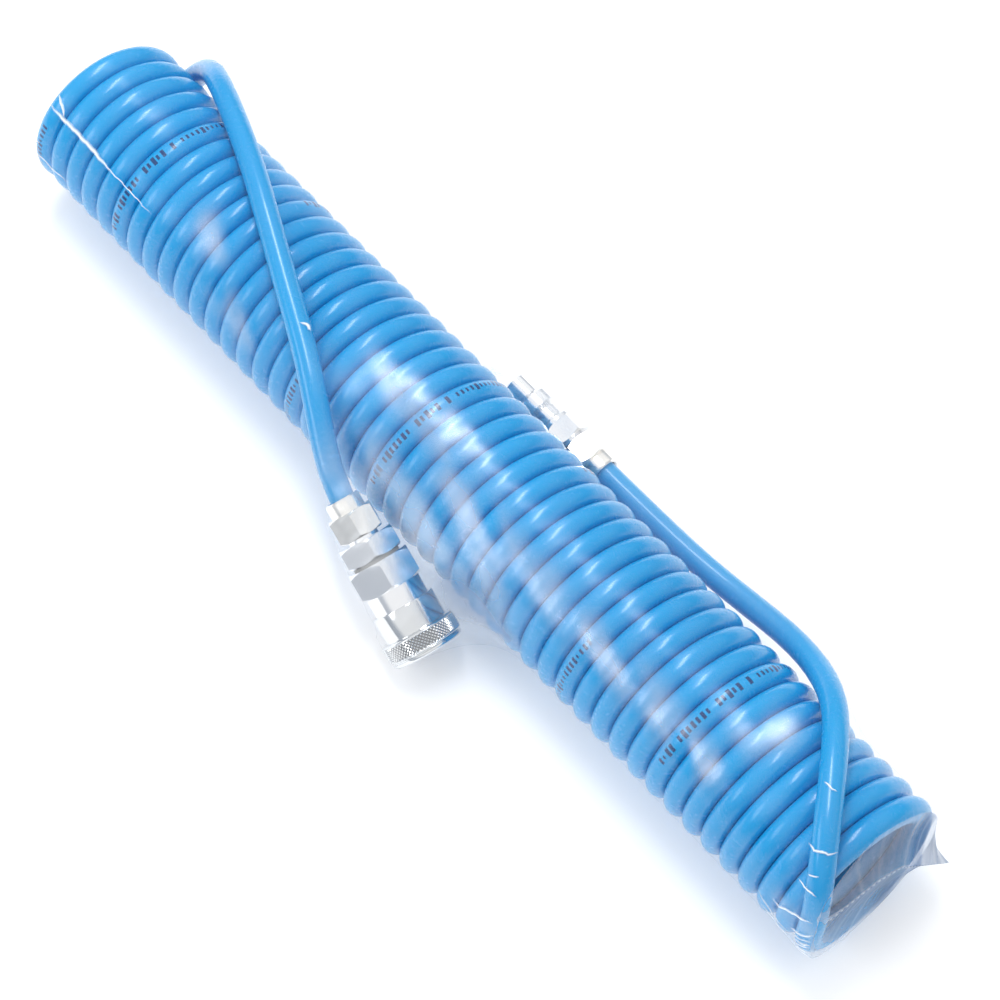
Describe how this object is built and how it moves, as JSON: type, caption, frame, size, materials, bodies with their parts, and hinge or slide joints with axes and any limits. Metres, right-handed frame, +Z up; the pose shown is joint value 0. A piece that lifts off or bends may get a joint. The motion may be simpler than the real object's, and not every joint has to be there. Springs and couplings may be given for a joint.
{
  "type": "coiled air hose",
  "caption": "Close-wound coiled polyurethane air hose with a quick-coupler socket on one tail and a plug on the other.",
  "frame": {"origin": "on the floor the hose lies on, under the centre of the whole part's box", "axes": "+X along the coil, from the end where the socket's tail leaves it to the end where the plug's tail leaves it; -Y is the side the socket hangs on and +Y the plug's side; +Z up from the floor"},
  "size_m": [0.3705, 0.0988, 0.0659],
  "materials": {
    "polyurethane": "gloss",
    "nickel_plated_steel": "polished",
    "hardened_steel": "polished",
    "spring_steel": "satin",
    "brass": "satin",
    "rubber_seal": "matte"
  },
  "bodies": {
    "hose_assembly": {"hose_coil": "polyurethane", "socket_tail": "polyurethane", "plug_tail": "polyurethane", "socket_nipple": "nickel_plated_steel", "body_gasket": "rubber_seal", "socket_body": "nickel_plated_steel", "sleeve_spring": "spring_steel", "retaining_ring": "spring_steel", "valve_spring": "spring_steel", "plug_packing": "rubber_seal", "plug_body": "nickel_plated_steel"},
    "sleeve": {"locking_sleeve": "nickel_plated_steel"},
    "valve": {"check_valve": "brass", "valve_seal": "rubber_seal"},
    "socket_nut": {"socket_hose_nut": "nickel_plated_steel"},
    "plug_nut": {"plug_hose_nut": "nickel_plated_steel"},
    "ball_1": {"locking_ball_1": "hardened_steel"},
    "ball_2": {"locking_ball_2": "hardened_steel"},
    "ball_3": {"locking_ball_3": "hardened_steel"},
    "ball_4": {"locking_ball_4": "hardened_steel"},
    "ball_5": {"locking_ball_5": "hardened_steel"},
    "ball_6": {"locking_ball_6": "hardened_steel"}
  },
  "joints": [
    {"name": "sleeve_slide", "type": "slide", "parent": "hose_assembly", "child": "sleeve", "axis": [-0.8763, 0.1053, 0.4701], "range_m": [0, 0.004], "stiffness_N_per_m": 1500, "springref_m": -0.003, "deforming": ["sleeve_spring"]},
    {"name": "check_valve_slide", "type": "slide", "parent": "hose_assembly", "child": "valve", "axis": [-0.8763, 0.1053, 0.4701], "range_m": [0, 0.004], "stiffness_N_per_m": 600, "springref_m": -0.003, "deforming": ["valve_spring"]},
    {"name": "socket_nut_turn", "type": "hinge", "parent": "hose_assembly", "child": "socket_nut", "pos_m": [-0.01294, -0.03183, 0.0357], "axis": [-0.8763, 0.1053, 0.4701], "range_deg": [0, 1080]},
    {"name": "plug_nut_turn", "type": "hinge", "parent": "hose_assembly", "child": "plug_nut", "pos_m": [0.02736, 0.04146, 0.019], "axis": [1, 0, 0], "range_deg": [0, 1080]},
    {"name": "ball_1_slide", "type": "slide", "parent": "hose_assembly", "child": "ball_1", "axis": [0.4668, -0.0561, 0.8826], "range_m": [0, 0.00095]},
    {"name": "ball_2_slide", "type": "slide", "parent": "hose_assembly", "child": "ball_2", "axis": [0.1301, -0.8879, 0.4413], "range_m": [0, 0.00095]},
    {"name": "ball_3_slide", "type": "slide", "parent": "hose_assembly", "child": "ball_3", "axis": [-0.3367, -0.8318, -0.4413], "range_m": [0, 0.00095]},
    {"name": "ball_4_slide", "type": "slide", "parent": "hose_assembly", "child": "ball_4", "axis": [-0.4668, 0.0561, -0.8826], "range_m": [0, 0.00095]},
    {"name": "ball_5_slide", "type": "slide", "parent": "hose_assembly", "child": "ball_5", "axis": [-0.1301, 0.8879, -0.4413], "range_m": [0, 0.00095]},
    {"name": "ball_6_slide", "type": "slide", "parent": "hose_assembly", "child": "ball_6", "axis": [0.3367, 0.8318, 0.4413], "range_m": [0, 0.00095]}
  ],
  "couplings": [
    {"joint": "ball_1_slide", "follows": "sleeve_slide", "ratio": 0.2375},
    {"joint": "ball_2_slide", "follows": "sleeve_slide", "ratio": 0.2375},
    {"joint": "ball_3_slide", "follows": "sleeve_slide", "ratio": 0.2375},
    {"joint": "ball_4_slide", "follows": "sleeve_slide", "ratio": 0.2375},
    {"joint": "ball_5_slide", "follows": "sleeve_slide", "ratio": 0.2375},
    {"joint": "ball_6_slide", "follows": "sleeve_slide", "ratio": 0.2375}
  ]
}
